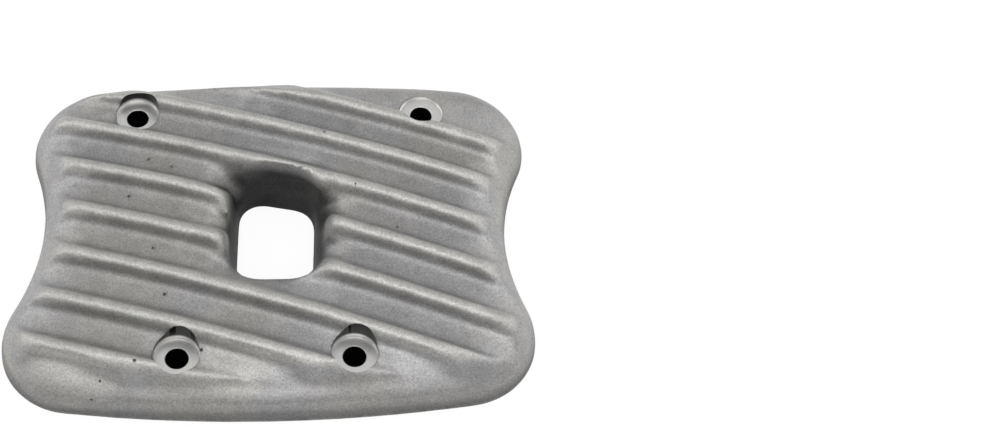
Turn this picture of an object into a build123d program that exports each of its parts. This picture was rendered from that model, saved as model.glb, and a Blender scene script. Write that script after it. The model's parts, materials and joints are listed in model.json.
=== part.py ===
from build123d import *
import os
from math import asin, cos, degrees, radians, sin, sqrt, tan

# Engine valve cover: one aluminium sand casting, with raised ribs across a crowned top, a window
# through its middle and four counterbored screw holes. Millimetres, +Z up. The origin is the
# middle of the gasket face, and X runs along the length.

# ---- outline at the gasket face ----
length = 168.8               # over the two corners that reach furthest
width = 125.4                # over the bowed long sides
corner_radius = 24.0
far_left_inset = 5.3         # the far left corner stands this much inside the length
near_right_inset = 1.7       # and the near right corner this much
near_right_rise = 1.0        # and lies this much further from the near side
far_bow = 0.7                # rise of the far long side over its corners
near_bow = 3.6
end_waist = 7.5              # how deep each end is drawn in between its corners

# ---- crowned top and outer wall ----
panel_height = 17.0          # from the gasket face to the panels between the ribs, at the middle
crown_radius = 610.0         # the crown is part of a large sphere
wall_draft = 12.0            # degrees
shoulder_radius = 13.0       # rounding from the wall into the panels

# ---- ribs ----
rib_angle = -17.75           # degrees, from X to the run of the ribs
rib_pitch = 16.1
rib_offset = 3.0             # from the origin to the rib that the pattern is counted from
ribs_far = 3                 # ribs on the far side of that one
ribs_near = 4                # ribs on the near side of it
rib_height = 4.0
rib_crest_radius = 2.3
rib_root_radius = 1.8
rib_flank_angle = 60.0       # degrees from the panel
rib_sink = 0.12              # the root arcs start this much under the panel
rib_foot = 12.0              # depth of a rib's stock under the panel
rib_sweep = 12.0             # degrees of the crown, each way, that the rib stock covers
nose_rise = 0.3              # the rounding that ends the ribs stands this much over their crests
nose_inset = 2.0             # and starts this much inside the wall
nose_radius = 15.0

# ---- window through the middle ----
window_corners = [(-11.0, -15.2), (12.8, -15.2), (13.9, 14.0), (-9.8, 18.5)]
window_corner_radius = 7.0
window_draft = 8.0           # degrees, widening upwards
lip_radius = 12.5            # rounding from the panels into the window
rib_stops = [(-1.0, -3.6), (1.4, -3.6), (1.4, -3.5), (-1.0, -3.5)]    # corner shifts: the ribs end
rib_lip_radius = 6.0         # here, in a rounding, and the far rib runs on along the window's edge

# ---- screw holes ----
screw_points = [(-44.0, 45.6), (50.1, 45.6), (-28.6, -46.2), (25.3, -46.2)]
screw_hole_diameter = 7.0
counterbore_diameter = 14.4
counterbore_floor = 11.2     # height of the screws' seats over the gasket face

# ---- hollow underside ----
gasket_width = 8.0           # land of the outer wall
window_land = 5.0            # land of the wall round the window
roof_thickness = 4.2
inner_draft = 3.0            # degrees
boss_radius = 10.5

crown_centre = Vector(0, 0, panel_height - crown_radius)
clear_height = panel_height + 2 * rib_height     # safely above every rib
touching = 0.01                                  # edges this near to the crown lie on it


def bowed(start, end, bow):
    """Arc that touches the corner circles at start and end, and rises by bow over their line."""
    across = end - start
    outward = Vector(across.Y, -across.X).normalized()
    half = across.length / 2
    reach = (half**2 + bow**2) / (2 * abs(bow))
    side = 1 if bow > 0 else -1
    middle = (start + end) * 0.5
    centre = middle - outward * side * (reach - abs(bow))
    ends = [c + (c - centre).normalized() * side * corner_radius for c in (start, end)]
    return ThreePointArc(ends[0], middle + outward * (corner_radius + bow), ends[1])


def outline(inset=0.0):
    """The cover's outline as a face, drawn in by inset."""
    x, y = length / 2 - corner_radius, width / 2 - corner_radius
    corners = [
        Vector(-x, -y + near_bow),
        Vector(x - near_right_inset, -y + near_bow + near_right_rise),
        Vector(x, y - far_bow),
        Vector(-x + far_left_inset, y - far_bow),
    ]
    bows = [near_bow + near_right_rise / 2, -end_waist, far_bow, -end_waist]
    sides = [bowed(corners[i], corners[(i + 1) % 4], bows[i]) for i in range(4)]
    edges = []
    for i, side in enumerate(sides):
        edges += [side, TangentArc(side @ 1, sides[(i + 1) % 4] @ 0, tangent=side % 1)]
    face = make_face(Curve() + edges)
    return offset(face, -inset) if inset else face


def window(shifts=None, grow=0.0):
    """The window at the gasket face as a face, with its corners shifted or its sides moved out."""
    corners = window_corners
    if shifts:
        corners = [(x + dx, y + dy) for (x, y), (dx, dy) in zip(corners, shifts)]
    face = make_face(Polyline(*corners, close=True))
    face = fillet(face.vertices(), window_corner_radius)
    return offset(face, grow) if grow else face


def window_prism(face):
    """The space over a window face, widening upwards by the draft."""
    return extrude(face, clear_height, taper=-window_draft)


def dome(level):
    """The crown's sphere, at a level over the panels."""
    return Pos(*crown_centre) * Rot(90, 0, 0) * Sphere(crown_radius + level)


def on_dome(edges, level):
    """Those of the edges that lie on the crown at a level."""
    def off(point):
        return abs((point - crown_centre).length - crown_radius - level)
    return [e for e in edges if max(off(e @ t) for t in (0, 0.5, 1)) < touching]


def crowned(level, inset, shoulder, opening, lip):
    """A body under the crown at a level, rounded at its wall and at the opening through it."""
    body = extrude(outline(inset), clear_height, taper=wall_draft) & dome(level)
    body = fillet(on_dome(body.edges(), level), shoulder)
    shaft = window_prism(opening)
    opened = body - shaft
    return fillet(on_dome(new_edges(body, shaft, combined=opened), level), lip)


def rib_section():
    """Section of one rib: round crest, straight flanks and hollow roots, on a foot."""
    flank = radians(rib_flank_angle)
    rise = 1 - cos(flank)
    straight = rib_height + rib_sink - (rib_crest_radius + rib_root_radius) * rise
    crest_half = rib_crest_radius * sin(flank)
    foot_half = crest_half + straight / tan(flank) + rib_root_radius * sin(flank)
    root_mid = (-foot_half + rib_root_radius * sin(flank / 2),
                -rib_sink + rib_root_radius * (1 - cos(flank / 2)))
    root_top = (-foot_half + rib_root_radius * sin(flank), -rib_sink + rib_root_radius * rise)
    crest_start = (-crest_half, rib_height - rib_crest_radius * rise)
    mirrored = [(-x, y) for x, y in (crest_start, root_top, root_mid)]
    edges = [
        Line((-foot_half, -rib_foot), (-foot_half, -rib_sink)),
        ThreePointArc((-foot_half, -rib_sink), root_mid, root_top),
        Line(root_top, crest_start),
        ThreePointArc(crest_start, (0, rib_height), mirrored[0]),
        Line(mirrored[0], mirrored[1]),
        ThreePointArc(mirrored[1], mirrored[2], (foot_half, -rib_sink)),
        Line((foot_half, -rib_sink), (foot_half, -rib_foot)),
        Line((foot_half, -rib_foot), (-foot_half, -rib_foot)),
    ]
    return make_face(Curve() + edges)


def rib(place):
    """Stock of one rib, bent over the crown, at its place across the pattern."""
    run = Vector(cos(radians(rib_angle)), sin(radians(rib_angle)))
    across = Vector(-run.Y, run.X)
    section_plane = Plane(origin=crown_centre, x_dir=across, z_dir=run)
    stand = Location((place, sqrt(crown_radius**2 - place**2)), -degrees(asin(place / crown_radius)))
    section = section_plane * (stand * rib_section())
    axis = Axis(crown_centre, across)
    return revolve(section, axis, 2 * rib_sweep).rotate(axis, -rib_sweep)


def hollow():
    """The space under the roof, round the window's wall and the four screw bosses."""
    space = extrude(outline(gasket_width), clear_height, taper=inner_draft) & dome(-roof_thickness)
    space -= window_prism(window(grow=window_land))
    for x, y in screw_points:
        space -= Pos(x, y) * Cylinder(boss_radius, 2 * clear_height)
    return space


def valve_cover():
    cover = crowned(0, 0, shoulder_radius, window(), lip_radius)
    envelope = crowned(rib_height + nose_rise, nose_inset, nose_radius, window(rib_stops), rib_lip_radius)
    for i in range(-ribs_near, ribs_far + 1):
        cover += rib(rib_offset + i * rib_pitch) & envelope
    cover -= hollow() + window_prism(window())
    for x, y in screw_points:
        cover -= Pos(x, y) * Cylinder(screw_hole_diameter / 2, 2 * clear_height)
        seat = Pos(x, y, counterbore_floor)
        cover -= seat * Cylinder(counterbore_diameter / 2, clear_height,
                                 align=(Align.CENTER, Align.CENTER, Align.MIN))
    return cover


os.makedirs("parts", exist_ok=True)
cover = valve_cover()
export_step(cover, "parts/valve_cover.step")
print(len(cover.solids()), cover.volume, cover.bounding_box(), cover.is_valid)
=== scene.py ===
import json
import math

import bmesh
import bpy
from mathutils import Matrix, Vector
from mathutils.bvhtree import BVHTree


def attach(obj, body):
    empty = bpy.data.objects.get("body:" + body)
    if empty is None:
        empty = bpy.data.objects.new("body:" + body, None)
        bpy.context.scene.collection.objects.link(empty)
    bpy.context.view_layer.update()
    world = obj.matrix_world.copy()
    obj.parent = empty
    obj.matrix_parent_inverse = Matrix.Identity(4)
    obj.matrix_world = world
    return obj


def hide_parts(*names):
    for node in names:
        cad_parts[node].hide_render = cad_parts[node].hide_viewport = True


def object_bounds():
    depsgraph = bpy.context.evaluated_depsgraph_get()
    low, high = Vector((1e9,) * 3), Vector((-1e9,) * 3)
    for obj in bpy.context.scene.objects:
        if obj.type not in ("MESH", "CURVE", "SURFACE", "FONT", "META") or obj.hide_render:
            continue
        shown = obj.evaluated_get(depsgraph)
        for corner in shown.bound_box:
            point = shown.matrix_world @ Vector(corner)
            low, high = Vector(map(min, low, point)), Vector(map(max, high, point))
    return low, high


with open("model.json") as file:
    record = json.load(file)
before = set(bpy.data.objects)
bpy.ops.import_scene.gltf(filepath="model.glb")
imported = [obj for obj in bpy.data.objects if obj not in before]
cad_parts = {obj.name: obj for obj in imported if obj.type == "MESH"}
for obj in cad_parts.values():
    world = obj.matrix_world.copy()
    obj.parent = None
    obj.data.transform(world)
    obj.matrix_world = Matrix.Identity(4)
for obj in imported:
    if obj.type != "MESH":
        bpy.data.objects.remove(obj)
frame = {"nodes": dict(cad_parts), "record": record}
cad_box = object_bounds()


# ---------------------------------------------------------------------------------------------
# The rough casting. The cover is poured as one piece of aluminium in a sand mould, so its ribs run
# into the panels, the shoulder and the window in soft blends. It is taken from the solid with the
# screw holes plugged and some stock left under the gasket face for the machining.
MM = 0.001
merge_distance = 1e-6
touching = 0.01 * MM                 # what lies this near to the gasket face belongs to it
counterbore_radius = 7.2 * MM
gasket_stock = 3.0 * MM
crown_radius = 610 * MM
crown_height = 17 * MM
crown_centre = Vector((0, 0, crown_height - crown_radius))
rib_slant = math.radians(-17.75)     # from the length of the cover to the run of the ribs
rib_pitch = 16.1 * MM
rib_offset = 3.0 * MM
along_ribs = Vector((math.cos(rib_slant), math.sin(rib_slant), 0))
across_ribs = Vector((-math.sin(rib_slant), math.cos(rib_slant), 0))

screws = [m for m in frame["record"]["mounts"] if m["kind"] == "bore"]
screw_axes = [(m["pos_m"][0], m["pos_m"][1]) for m in screws]


def link_piece(name, mesh):
    piece = bpy.data.objects.new(name, mesh)
    bpy.context.scene.collection.objects.link(piece)
    return piece


def finish_modifiers(piece):
    """Puts the mesh that a piece's modifiers give in place of its own."""
    bpy.context.view_layer.update()
    shaped = bpy.data.meshes.new_from_object(piece.evaluated_get(bpy.context.evaluated_depsgraph_get()))
    piece.modifiers.clear()
    piece.data = shaped


rough = bmesh.new()
rough.from_mesh(frame["nodes"]["valve_cover"].data)
bmesh.ops.remove_doubles(rough, verts=rough.verts, dist=merge_distance)
gasket_verts = [v for v in rough.verts if v.co.z < touching]
bmesh.ops.translate(rough, verts=gasket_verts, vec=(0, 0, -gasket_stock))

# Each plug fills a screw hole, and its top carries on the ribs and panels that the hole cuts.
plug_radius = counterbore_radius + 0.2 * MM
sound_skin_radius = plug_radius + 0.2 * MM     # the skin is whole this far from the hole's axis
plug_rings = 10
plug_steps = 48
above_cover = 50 * MM
down = Vector((0, 0, -1))
skin_surface = BVHTree.FromBMesh(rough)


def skin_height(point):
    return skin_surface.ray_cast(Vector((point.x, point.y, above_cover)), down)[0].z


for x, y in screw_axes:
    axis = Vector((x, y, 0))
    spokes = [rough.verts.new((x + plug_radius * step / plug_rings, y, 0)) for step in range(plug_rings + 1)]
    spoke_edges = [rough.edges.new(pair) for pair in zip(spokes, spokes[1:])]
    bmesh.ops.spin(rough, geom=spokes + spoke_edges, cent=axis, axis=(0, 0, 1), angle=math.tau,
                   steps=plug_steps, use_merge=True)
    faces = {f for e in spoke_edges if e.is_valid for f in e.link_faces}
    grown = 0
    while grown < len(faces):
        grown = len(faces)
        faces |= {f for face in faces for e in face.edges for f in e.link_faces}
    for vert in {v for f in faces for v in f.verts}:
        aside = (vert.co - axis).dot(across_ribs)
        half_chord = math.sqrt(max(sound_skin_radius ** 2 - aside * aside, 0))
        start, end = (axis + across_ribs * aside + along_ribs * side * half_chord for side in (-1, 1))
        share = ((vert.co - axis).dot(along_ribs) + half_chord) / (2 * half_chord)
        vert.co.z = skin_height(start) * (1 - share) + skin_height(end) * share
    under = bmesh.ops.extrude_face_region(rough, geom=list(faces), use_keep_orig=True)
    for vert in (v for v in under["geom"] if isinstance(v, bmesh.types.BMVert)):
        vert.co.z = -gasket_stock
bmesh.ops.remove_doubles(rough, verts=rough.verts, dist=merge_distance)
bmesh.ops.recalc_face_normals(rough, faces=rough.faces)

casting = link_piece("cover_casting", bpy.data.meshes.new("cover_casting"))
rough.to_mesh(casting.data)
rough.free()

# The metal fills the mould as one skin.
mould_grain = 0.85 * MM              # size of the faces that the casting is rebuilt from

mould = casting.modifiers.new("mould", "REMESH")
mould.mode = "VOXEL"
mould.voxel_size = mould_grain
finish_modifiers(casting)

cast = bmesh.new()
cast.from_mesh(casting.data)

# The panels are hollowed a little between the ribs, and the crests stand a little prouder. The ribs
# lean over to the far side, most of all at the middle, and their far flanks come out further.
panel_dish = 0.4 * MM
crest_lift = 0.25 * MM
crest_from, crest_to = 1 * MM, 3 * MM            # heights over the crown between which a crest lifts
rib_lean = 1.3 * MM
lean_reach = 95 * MM                             # the lean would die out this far towards the ends
far_lean_loss = 0.6                              # and this share of it is lost towards the far side
far_lean_from, far_lean_to = 15 * MM, 45 * MM
far_flank_ease = 0.7 * MM
skin_fade = 3.0 * MM                             # all this dies out under the crown
wall_fade_low, wall_fade_high = 6 * MM, 12 * MM  # and down the outer wall


def even(value, low, high):
    """0 below low, 1 above high and even between them."""
    return min(max((value - low) / (high - low), 0), 1)


for vert in cast.verts:
    over_panel = (vert.co - crown_centre).length - crown_radius
    skin = even(over_panel, -2 * skin_fade, -skin_fade) * even(vert.co.z, wall_fade_low, wall_fade_high)
    from_rib = (vert.co.dot(across_ribs) - rib_offset) / rib_pitch
    turn = math.tau * from_rib
    far_loss = far_lean_loss * even(vert.co.y, far_lean_from, far_lean_to)
    lean = rib_lean * (1 - far_loss) * (1 - (vert.co.x / lean_reach) ** 2) * skin
    ease = far_flank_ease * max(math.sin(turn), 0) ** 2 * skin
    lift = crest_lift * even(over_panel, crest_from, crest_to)
    dish = panel_dish * (1 - math.cos(turn)) / 2
    vert.co.z += (lift - dish) * skin
    vert.co += across_ribs * (lean + ease)

# Two valleys run down as chutes into the window's far corners: x, y, radius and depth, in millimetres.
chutes = [(-12.0, 16.0, 7.0, 3.0), (16.0, 10.5, 6.0, 2.0)]
chute_reach = 3                      # in radii
chute_fade = 6 * MM                  # a chute comes in over this much height
window_floor = 5 * MM                # the chutes and the window's own blends end at this height

for x, y, radius, depth in chutes:
    for vert in cast.verts:
        away = math.hypot(vert.co.x - x * MM, vert.co.y - y * MM) / (radius * MM)
        if vert.co.z > window_floor and away < chute_reach:
            come_in = min((vert.co.z - window_floor) / chute_fade, 1)
            vert.co.z -= depth * MM * math.exp(-away * away) * come_in

# The rib that passes the window's far side is filled out on its near flank, at the far right corner.
far_rib_fill = 1.2 * MM
far_rib_fill_at = Vector((12, 16)) * MM
far_rib_fill_reach = 8 * MM
fill_low, fill_high = 8 * MM, 13 * MM            # heights between which the fill comes in
fill_end, fill_full = 22.5 * MM, 19 * MM         # and places across the ribs

for vert in cast.verts:
    away = math.hypot(vert.co.x - far_rib_fill_at.x, vert.co.y - far_rib_fill_at.y) / far_rib_fill_reach
    if away < 1 and vert.co.z > fill_low:
        fill = far_rib_fill * (1 - away * away) ** 2 * even(vert.co.z, fill_low, fill_high)
        vert.co -= across_ribs * fill * even(vert.co.dot(across_ribs), fill_end, fill_full)

# The lip and the rib ends round the window are blended more than the rest, but less so the rib that
# passes the window's far side.
window_middle = Vector((1.5, 1.0)) * MM
window_reach = Vector((18, 23)) * MM
window_passes = 14
far_rib_foot = 17 * MM               # from the origin, across the ribs
far_wall_top = 15 * MM
far_rib_passes = 6
blend_passes = 5


def near_window(vert):
    aside, along = abs(vert.co.x - window_middle.x), abs(vert.co.y - window_middle.y)
    return vert.co.z > window_floor and aside < window_reach.x and along < window_reach.y


def on_far_rib(vert):
    return vert.co.dot(across_ribs) > far_rib_foot and vert.co.z > far_wall_top


def blend(verts, passes):
    for _ in range(passes):
        bmesh.ops.smooth_vert(cast, verts=verts, factor=0.5,
                              use_axis_x=True, use_axis_y=True, use_axis_z=True)


blend([v for v in cast.verts if near_window(v) and not on_far_rib(v)], window_passes)
blend([v for v in cast.verts if near_window(v) and on_far_rib(v)], far_rib_passes)
blend(cast.verts[:], blend_passes)
cast.to_mesh(casting.data)
cast.free()

# The sand leaves the skin very slightly uneven.
mould_waves = 9 * MM
mould_wave_height = 0.12 * MM

sand_waves = bpy.data.textures.new("sand_waves", "CLOUDS")
sand_waves.noise_scale = mould_waves
uneven = casting.modifiers.new("uneven", "DISPLACE")
uneven.texture = sand_waves
uneven.texture_coords = "LOCAL"
uneven.strength = mould_wave_height
uneven.mid_level = 1.0               # it only takes away, so the casting stays inside its size
finish_modifiers(casting)


# ---------------------------------------------------------------------------------------------
# The machining. The gasket face is milled flat, and each screw gets a clearance hole and a turned
# seat, sunk so deep that its wall cuts through the ribs beside it. Gas left small pits in the skin
# of the casting, which are cut here with the holes.
hole_radius = 3.5 * MM
seat_height = screws[0]["dims"]["length_mm"] * MM
edge_break = 0.25 * MM
cutter_top = 40 * MM
cutter_steps = 96
cut_tolerance = 1e-7

cast = bmesh.new()
cast.from_mesh(casting.data)
cut = bmesh.ops.bisect_plane(cast, geom=cast.verts[:] + cast.edges[:] + cast.faces[:], dist=cut_tolerance,
                             plane_co=(0, 0, 0), plane_no=(0, 0, 1), clear_inner=True)
gasket_edges = [e for e in cut["geom_cut"] if isinstance(e, bmesh.types.BMEdge)]
bmesh.ops.triangle_fill(cast, edges=gasket_edges, use_beauty=True, normal=(0, 0, -1))
bmesh.ops.recalc_face_normals(cast, faces=cast.faces)
cast_surface = BVHTree.FromBMesh(cast)
cast.to_mesh(casting.data)
cast.free()

screw_tool = bmesh.new()
for x, y in screw_axes:
    profile = [(0, -gasket_stock), (hole_radius, -gasket_stock),
               (hole_radius, seat_height - edge_break), (hole_radius + edge_break, seat_height),
               (counterbore_radius - edge_break, seat_height), (counterbore_radius, seat_height + edge_break),
               (counterbore_radius, cutter_top), (0, cutter_top)]
    verts = [screw_tool.verts.new((x + r, y, z)) for r, z in profile]
    edges = [screw_tool.edges.new(pair) for pair in zip(verts, verts[1:])]
    bmesh.ops.spin(screw_tool, geom=verts + edges, cent=(x, y, 0), axis=(0, 0, 1), angle=math.tau,
                   steps=cutter_steps, use_merge=True)
bmesh.ops.remove_doubles(screw_tool, verts=screw_tool.verts, dist=merge_distance)
bmesh.ops.recalc_face_normals(screw_tool, faces=screw_tool.faces)

# x, y and radius of each pit, in millimetres
gas_pits = [(-39.5, 26.2, 0.35), (-31.9, 22.9, 0.3), (-45.3, 11.6, 0.35), (-36.9, -8.8, 0.3),
            (17.7, 32.9, 0.45), (40.1, -1.8, 0.3), (27.1, 11.8, 0.3), (-32.7, -25.7, 0.4),
            (-21.0, -45.2, 0.5), (-40.9, -49.6, 0.55), (-51.6, -53.3, 0.35), (-54.3, -57.6, 0.3)]
pit_roundness = 2                    # subdivisions of a pit's ball

pit_tool = bmesh.new()
for x, y, radius in gas_pits:
    skin, *_ = cast_surface.ray_cast(Vector((x * MM, y * MM, above_cover)), down)
    pit = bmesh.ops.create_icosphere(pit_tool, subdivisions=pit_roundness, radius=radius * MM)
    bmesh.ops.translate(pit_tool, verts=pit["verts"], vec=skin)


def bore(tool_name, tool, tool_material):
    """Cuts a tool out of the casting; the cut faces take the tool's material."""
    cutter = link_piece(tool_name, bpy.data.meshes.new(tool_name))
    tool.to_mesh(cutter.data)
    tool.free()
    cutter.data.materials.append(tool_material)
    boring = casting.modifiers.new(tool_name, "BOOLEAN")
    boring.operation = "DIFFERENCE"
    boring.solver = "EXACT"
    boring.material_mode = "TRANSFER"
    boring.object = cutter
    finish_modifiers(casting)
    bpy.data.objects.remove(cutter)


cast_metal = bpy.data.materials.new("cast_aluminium")
turned_metal = bpy.data.materials.new("turned_aluminium")
milled_metal = bpy.data.materials.new("milled_aluminium")
casting.data.materials.clear()
casting.data.materials.append(cast_metal)
bore("pit_tool", pit_tool, cast_metal)
bore("screw_tool", screw_tool, turned_metal)
casting.data.materials.append(milled_metal)

# Only the cast skin is shaded as a soft one. What faces straight down at the bottom is milled.
milled_slot = 2
facing_down = -0.99
crisp_angle = math.radians(40)

for face in casting.data.polygons:
    face.use_smooth = face.material_index == 0
    if face.normal.z < facing_down and face.center.z < touching:
        face.material_index = milled_slot
casting.data.set_sharp_from_angle(angle=crisp_angle)

# How open each point of the casting lies, for the painted shade in its metal's colour: 1 on a crest, near 0
# in a deep corner.
open_reach = 25 * MM
fan_leans = (25, 50, 75)             # degrees from straight out
fan_turns = 8
fan_lift = 0.1 * MM                  # the rays start this far off the skin
underside_from = -0.02               # the table hides nothing from what faces further down than this
even_passes = 2

fan = [Vector((math.cos(turn + lean) * math.sin(lean),
               math.sin(turn + lean) * math.sin(lean),
               math.cos(lean)))
       for lean in map(math.radians, fan_leans)
       for turn in (step * math.tau / fan_turns for step in range(fan_turns))]
casting_surface = BVHTree.FromObject(casting, bpy.context.evaluated_depsgraph_get())


def open_share(vert):
    """Share of a fan of rays over a point that meet neither the casting nor the table."""
    side = vert.normal.orthogonal().normalized()
    across = vert.normal.cross(side)
    start = vert.co + vert.normal * fan_lift
    over_table = vert.normal.z > underside_from
    free = 0
    for lean in fan:
        ray = side * lean.x + across * lean.y + vert.normal * lean.z
        if over_table and start.z + ray.z * open_reach < 0:
            continue
        free += casting_surface.ray_cast(start, ray, open_reach)[0] is None
    return free / len(fan)


shares = [open_share(vert) for vert in casting.data.vertices]
for _ in range(even_passes):
    sums, counts = shares[:], [1] * len(shares)
    for edge in casting.data.edges:
        one, other = edge.vertices
        sums[one] += shares[other]
        sums[other] += shares[one]
        counts[one] += 1
        counts[other] += 1
    shares = [total / count for total, count in zip(sums, counts)]
openness = casting.data.attributes.new("openness", "FLOAT", "POINT")
openness.data.foreach_set("value", shares)

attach(casting, "root")
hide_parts("valve_cover")


# ---------------------------------------------------------------------------------------------
# The casting's metal: bare blasted aluminium with the grain of the sand mould, a little warm or cool
# in patches. Shade is painted into its colour in the creases and down in the window, and it is lighter high
# on the crests.
class Socket:
    """A shader value that adds Math nodes as it is reckoned with."""

    def __init__(self, shader, link):
        self.shader, self.link = shader, link

    def _math(self, operation, *values):
        return self.shader.node("ShaderNodeMath", {"operation": operation}, dict(enumerate(values)))

    def __add__(self, other):
        return self._math("ADD", self, other)

    def __radd__(self, other):
        return self._math("ADD", other, self)

    def __sub__(self, other):
        return self._math("SUBTRACT", self, other)

    def __rsub__(self, other):
        return self._math("SUBTRACT", other, self)

    def __mul__(self, other):
        return self._math("MULTIPLY", self, other)

    def __rmul__(self, other):
        return self._math("MULTIPLY", other, self)

    def least(self, other):
        return self._math("MINIMUM", self, other)

    def wave(self):
        return self._math("SINE", self)

    def ramp(self, low, high):
        """0 below low, 1 above high and even between them."""
        return self.shader.node("ShaderNodeMapRange", {"clamp": True},
                                {"Value": self, "From Min": low, "From Max": high})


class Shader:
    """A material's node tree, with one way to add a node."""

    def __init__(self, material):
        material.use_nodes = True
        self.tree = material.node_tree
        self.tree.nodes.clear()

    def node(self, kind, settings=None, sockets=None, out=0):
        made = self.tree.nodes.new(kind)
        for key, value in (settings or {}).items():
            setattr(made, key, value)
        for key, value in (sockets or {}).items():
            if isinstance(value, Socket):
                self.tree.links.new(value.link, made.inputs[key])
            else:
                made.inputs[key].default_value = value
        return Socket(self, made.outputs[out]) if made.outputs else None

    def place(self):
        """Where a point lies on the object."""
        return self.node("ShaderNodeTexCoord", out="Object")

    def facing(self):
        """Which way the surface faces there."""
        return self.node("ShaderNodeTexCoord", out="Normal")

    def part(self, vector, axis):
        return self.node("ShaderNodeSeparateXYZ", {}, {0: vector}, out=axis)

    def vector(self, operation, *values, out=0):
        return self.node("ShaderNodeVectorMath", {"operation": operation}, dict(enumerate(values)), out=out)

    def distance(self, place, point):
        return self.vector("DISTANCE", place, point, out="Value")

    def noise(self, place, scale, detail=3.0):
        return self.node("ShaderNodeTexNoise", {}, {"Vector": place, "Scale": scale, "Detail": detail,
                                                    "Roughness": 0.6})

    def mix(self, share, first, second, how="MIX"):
        colours = [c if isinstance(c, Socket) else (*c, 1) for c in (first, second)]
        return self.node("ShaderNodeMix", {"data_type": "RGBA", "blend_type": how},
                         {0: share, 6: colours[0], 7: colours[1]}, out=2)

    def metal(self, colour, roughness, height, depth):
        grain = self.node("ShaderNodeBump", {}, {"Height": height, "Strength": 1.0, "Distance": depth})
        surface = self.node("ShaderNodeBsdfPrincipled", {}, {
            "Base Color": colour, "Metallic": 1.0, "Roughness": roughness, "Normal": grain})
        self.node("ShaderNodeOutputMaterial", {}, {"Surface": surface})


warm_grey = (0.44, 0.434, 0.412)
cool_grey = (0.425, 0.418, 0.422)
# painted shade, in the creases and down in the window
painted_shade_grey = (0.045, 0.045, 0.045)
crest_grey = (0.50, 0.495, 0.477)
pepper_grey = (0.10, 0.10, 0.10)
patch_scale, mottle_scale, grain_scale = 28.0, 160.0, 1600.0     # waves to the metre
patch_edge = (0.4, 0.6)
tone_edge = (0.3, 0.7)
mottle_tones = [(0.75, 0.75, 0.75), (1.25, 1.25, 1.25)]
mottle_share = 0.4
grain_tones = [(0.65, 0.65, 0.65), (1.35, 1.35, 1.35)]
grain_share = 0.6
pepper_scale = 420.0
pepper_edge = (0.11, 0.05)
pepper_field_scale = 60.0                                        # the pepper lies in fields
pepper_field_edge = (0.52, 0.62)
pepper_share = 0.7
deep_at, open_at = 0.2, 0.84                                     # shares of the rays that go free
crest_grey_from, crest_grey_to = 0.6 * MM, 2.2 * MM                      # heights over the crown
# painted shade down in the window and up its far wall
window_shade = 0.82
window_shade_in, window_shade_out = 19 * MM, 24 * MM             # from the window's middle
window_shade_high, window_shade_low = -1.5 * MM, -6 * MM         # heights over the crown
far_wall_shade_high, far_wall_shade_low = 0.8 * MM, -1.5 * MM    # the painted shade goes further up the far wall
far_wall_from, far_wall_full = 9 * MM, 13 * MM
faces_up = (-0.1, 0.05)
faces_near = (-0.25, -0.6)
cast_roughness = 0.58
mottle_roughness = 0.12
mottle_height = 0.6                                              # as a share of the grain's
grain_depth = 0.05 * MM

shader = Shader(cast_metal)
place = shader.place()
patches = shader.noise(place, patch_scale, 2.0)
mottle = shader.noise(place, mottle_scale, 4.0)
grain = shader.noise(place, grain_scale, 2.0)
pepper = shader.node("ShaderNodeTexVoronoi", {}, {"Vector": place, "Scale": pepper_scale})
pepper_field = shader.noise(place, pepper_field_scale).ramp(*pepper_field_edge)
pepper_spot = pepper.ramp(*pepper_edge) * pepper_field
lit = shader.node("ShaderNodeAttribute", {"attribute_name": "openness"}, out="Fac").ramp(deep_at, open_at)
over_crown = shader.distance(place, crown_centre) - crown_radius
tone = shader.mix(patches.ramp(*patch_edge), warm_grey, cool_grey)
# the colour is lighter high on the crests
tone = shader.mix(over_crown.ramp(crest_grey_from, crest_grey_to), tone, crest_grey)
# painted shade: the colour goes dark where the casting lies little open, in creases and hollows
tone = shader.mix(lit * lit, painted_shade_grey, tone)
level_place = shader.vector("MULTIPLY", place, (1, 1, 0))
from_middle = shader.distance(level_place, (*window_middle, 0))
facing_up = shader.part(shader.facing(), "Z").ramp(*faces_up)
facing_near = shader.part(shader.facing(), "Y").ramp(*faces_near)
far_side = shader.part(place, "Y").ramp(far_wall_from, far_wall_full)
down_window = over_crown.ramp(window_shade_high, window_shade_low)
down_far_wall = over_crown.ramp(far_wall_shade_high, far_wall_shade_low) * facing_near * far_side
window_painted_shade = (from_middle.ramp(window_shade_out, window_shade_in) * facing_up
             * (down_window + down_far_wall).least(1.0))
# painted shade in the window
tone = shader.mix(window_shade * window_painted_shade, tone, painted_shade_grey)
tone = shader.mix(mottle_share, tone, shader.mix(mottle.ramp(*tone_edge), *mottle_tones), "MULTIPLY")
tone = shader.mix(grain_share, tone, shader.mix(grain.ramp(*tone_edge), *grain_tones), "MULTIPLY")
tone = shader.mix(pepper_share * pepper_spot, tone, pepper_grey)
roughness = cast_roughness + mottle_roughness * (mottle - 0.5)
shader.metal(tone, roughness, grain + mottle_height * mottle, grain_depth)


# ---------------------------------------------------------------------------------------------
# The turned metal of the screw seats and holes. It is bright, with the rings that the tool leaves,
# and has shade painted into its colour up the seats' walls and inside the holes, where little light comes.
turned_grey = (0.78, 0.775, 0.76)
# painted shade in the holes and up the seats' walls, and painted shadow on the table under the holes
painted_hole_shade = (0.012, 0.012, 0.012)
hole_edge_in, hole_edge_out = hole_radius + 0.05 * MM, hole_radius + 0.15 * MM
wall_light_to, wall_dark_from = seat_height + 0.3 * MM, seat_height + 2.0 * MM
turned_scuff_scale = 500.0
turned_scuff_share = 0.35
turned_roughness = 0.36
hole_roughness = 0.3                 # more of it inside the holes
scuff_roughness = 0.1
ring_pitch = 0.35 * MM
ring_depth = 0.006 * MM

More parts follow.
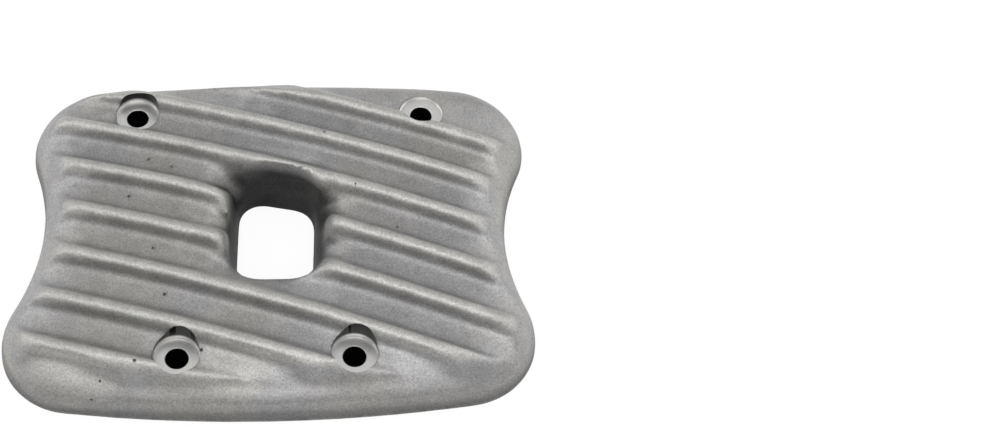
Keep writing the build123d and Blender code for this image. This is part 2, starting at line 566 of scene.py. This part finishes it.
shader = Shader(turned_metal)
place = shader.place()
level_place = shader.vector("MULTIPLY", place, (1, 1, 0))
from_axis = 1.0
for x, y in screw_axes:
    from_axis = shader.distance(level_place, (x, y, 0)).least(from_axis)
rings = (from_axis * (math.tau / ring_pitch)).wave()
scuff = shader.noise(place, turned_scuff_scale)
tone = shader.mix(turned_scuff_share * scuff, turned_grey, warm_grey)
in_hole = from_axis.ramp(hole_edge_out, hole_edge_in)
up_wall = shader.part(place, "Z").ramp(wall_light_to, wall_dark_from)
# painted shade up the seats' walls and inside the holes
tone = shader.mix((in_hole + up_wall).least(1.0), tone, painted_hole_shade)
roughness = turned_roughness + scuff_roughness * (scuff - 0.5) + hole_roughness * in_hole
shader.metal(tone, roughness, rings + scuff, ring_depth)


# ---------------------------------------------------------------------------------------------
# The milled metal of the gasket face, which a wide cutter planes in one pass from end to end. Its
# feed leaves shallow arcs.
mill_radius = 90 * MM
mill_feed = 1.1 * MM
mill_depth = 0.004 * MM
milled_scuff_scale = 300.0
milled_scuff_share = 0.3
milled_scuff_height = 0.5            # as a share of the arcs' height
milled_roughness = 0.32

shader = Shader(milled_metal)
place = shader.place()
along = shader.part(place, "X")
aside = shader.part(place, "Y")
arcs = ((along + aside * aside * (0.5 / mill_radius)) * (math.tau / mill_feed)).wave()
scuff = shader.noise(place, milled_scuff_scale)
tone = shader.mix(milled_scuff_share * scuff, turned_grey, warm_grey)
roughness = milled_roughness + scuff_roughness * (scuff - 0.5)
shader.metal(tone, roughness, arcs + milled_scuff_height * scuff, mill_depth)


# ---------------------------------------------------------------------------------------------
# The table it lies on: one white sheet that carries the cover's soft shadow. No light comes down
# to it through the screw holes, so its own white glow leaves them out, and it is painted black there as a
# painted shadow.
table_reach = 4.0
table_paint = (0.9, 0.9, 0.9)
table_roughness = 0.5
glow_strength = 1.03
glow_share = 0.85
hole_shade_in, hole_shade_out = hole_radius + 1 * MM, hole_radius + 2 * MM
footprint_blur = 4 * MM

sheet = bmesh.new()
bmesh.ops.create_grid(sheet, x_segments=1, y_segments=1, size=table_reach)
table = link_piece("table", bpy.data.meshes.new("table"))
sheet.to_mesh(table.data)
sheet.free()
table_white = bpy.data.materials.new("table_white")
table.data.materials.append(table_white)

shader = Shader(table_white)
place = shader.place()
clear_of_holes = 1.0
for x, y in screw_axes:
    clear_of_holes = shader.distance(place, (x, y, 0)).ramp(hole_shade_in, hole_shade_out) * clear_of_holes
# painted shadow: the sheet is painted black under the screw holes
paint = shader.node("ShaderNodeBsdfDiffuse", {}, {
    "Color": shader.mix(clear_of_holes, painted_hole_shade, table_paint), "Roughness": table_roughness})
glow = shader.node("ShaderNodeEmission", {}, {"Color": (1, 1, 1, 1), "Strength": glow_strength})

# The metal mirrors the white sheet beside the cover, but not the shaded sheet under it.
beside = shader.vector("SUBTRACT", shader.vector("ABSOLUTE", place), cad_box[1])
outside = (shader.part(beside, "X").ramp(-footprint_blur, footprint_blur)
           + shader.part(beside, "Y").ramp(-footprint_blur, footprint_blur))
mirrored = (shader.node("ShaderNodeLightPath", out="Is Glossy Ray")
            + shader.node("ShaderNodeLightPath", out="Is Transmission Ray"))
seen = shader.node("ShaderNodeLightPath", out="Is Camera Ray") + mirrored * outside.least(1.0)
white = shader.node("ShaderNodeMixShader", {}, {0: glow_share * seen * clear_of_holes, 1: paint, 2: glow})
shader.node("ShaderNodeOutputMaterial", {}, {"Surface": white})


# ---------------------------------------------------------------------------------------------
# The light: a plain pale room that is dark low down on the near side, where one stands, one broad
# lamp overhead and one at each end of the cover.
near_level = (0.03, 0.03, 0.03)
far_level = (0.68, 0.68, 0.68)
room_slant = (0, 0.45, 0.9)          # the way in which the room grows lighter
dark_at, light_at = -0.35, 0.6

world = bpy.data.worlds.new("room")
bpy.context.scene.world = world
shader = Shader(world)
toward = shader.node("ShaderNodeTexCoord", out="Generated")
rise = shader.vector("DOT_PRODUCT", toward, room_slant, out="Value")
room = shader.node("ShaderNodeBackground", {}, {
    "Color": shader.mix(rise.ramp(dark_at, light_at), near_level, far_level), "Strength": 1.0})
backdrop = shader.node("ShaderNodeBackground", {}, {"Color": (1, 1, 1, 1), "Strength": 1.0})
seen = shader.node("ShaderNodeLightPath", out="Is Camera Ray")
surround = shader.node("ShaderNodeMixShader", {}, {0: seen, 1: room, 2: backdrop})
shader.node("ShaderNodeOutputWorld", {}, {"Surface": surround})


def turn_to(piece, place, aim):
    piece.location = place
    piece.rotation_euler = (Vector(aim) - Vector(place)).to_track_quat("-Z", "Y").to_euler()
    bpy.context.scene.collection.objects.link(piece)


def softbox(name, place, width, height, power):
    """A lamp, with its place and size in metres and its power in watts, turned to the cover."""
    light = bpy.data.lights.new(name, "AREA")
    light.shape = "RECTANGLE"
    light.size, light.size_y = width, height
    light.energy = power
    turn_to(bpy.data.objects.new(name, light), place, (0, 0, 0))


softbox("overhead", (0.0, -0.45, 1.05), 0.9, 0.7, 5.2)
softbox("left_end", (-0.95, 0.25, 0.6), 0.9, 0.9, 3.0)
softbox("right_end", (0.95, 0.25, 0.6), 0.9, 0.9, 3.0)


# ---------------------------------------------------------------------------------------------
# The camera stands before the near side and looks down on the cover, which it shows in the left
# half of its frame.
eye = Vector((6.2, -302.7, 460.3)) * MM
aim = Vector((10.2, -5.8, 2.1)) * MM

lens = bpy.data.cameras.new("camera")
lens.sensor_width = 36
lens.lens = 61.3
lens.shift_x = 0.197
lens.shift_y = 0.042
lens.clip_start = 0.01
lens.clip_end = 20
camera = bpy.data.objects.new("camera", lens)
turn_to(camera, eye, aim)
bpy.context.scene.camera = camera
bpy.context.scene.view_settings.view_transform = "Standard"
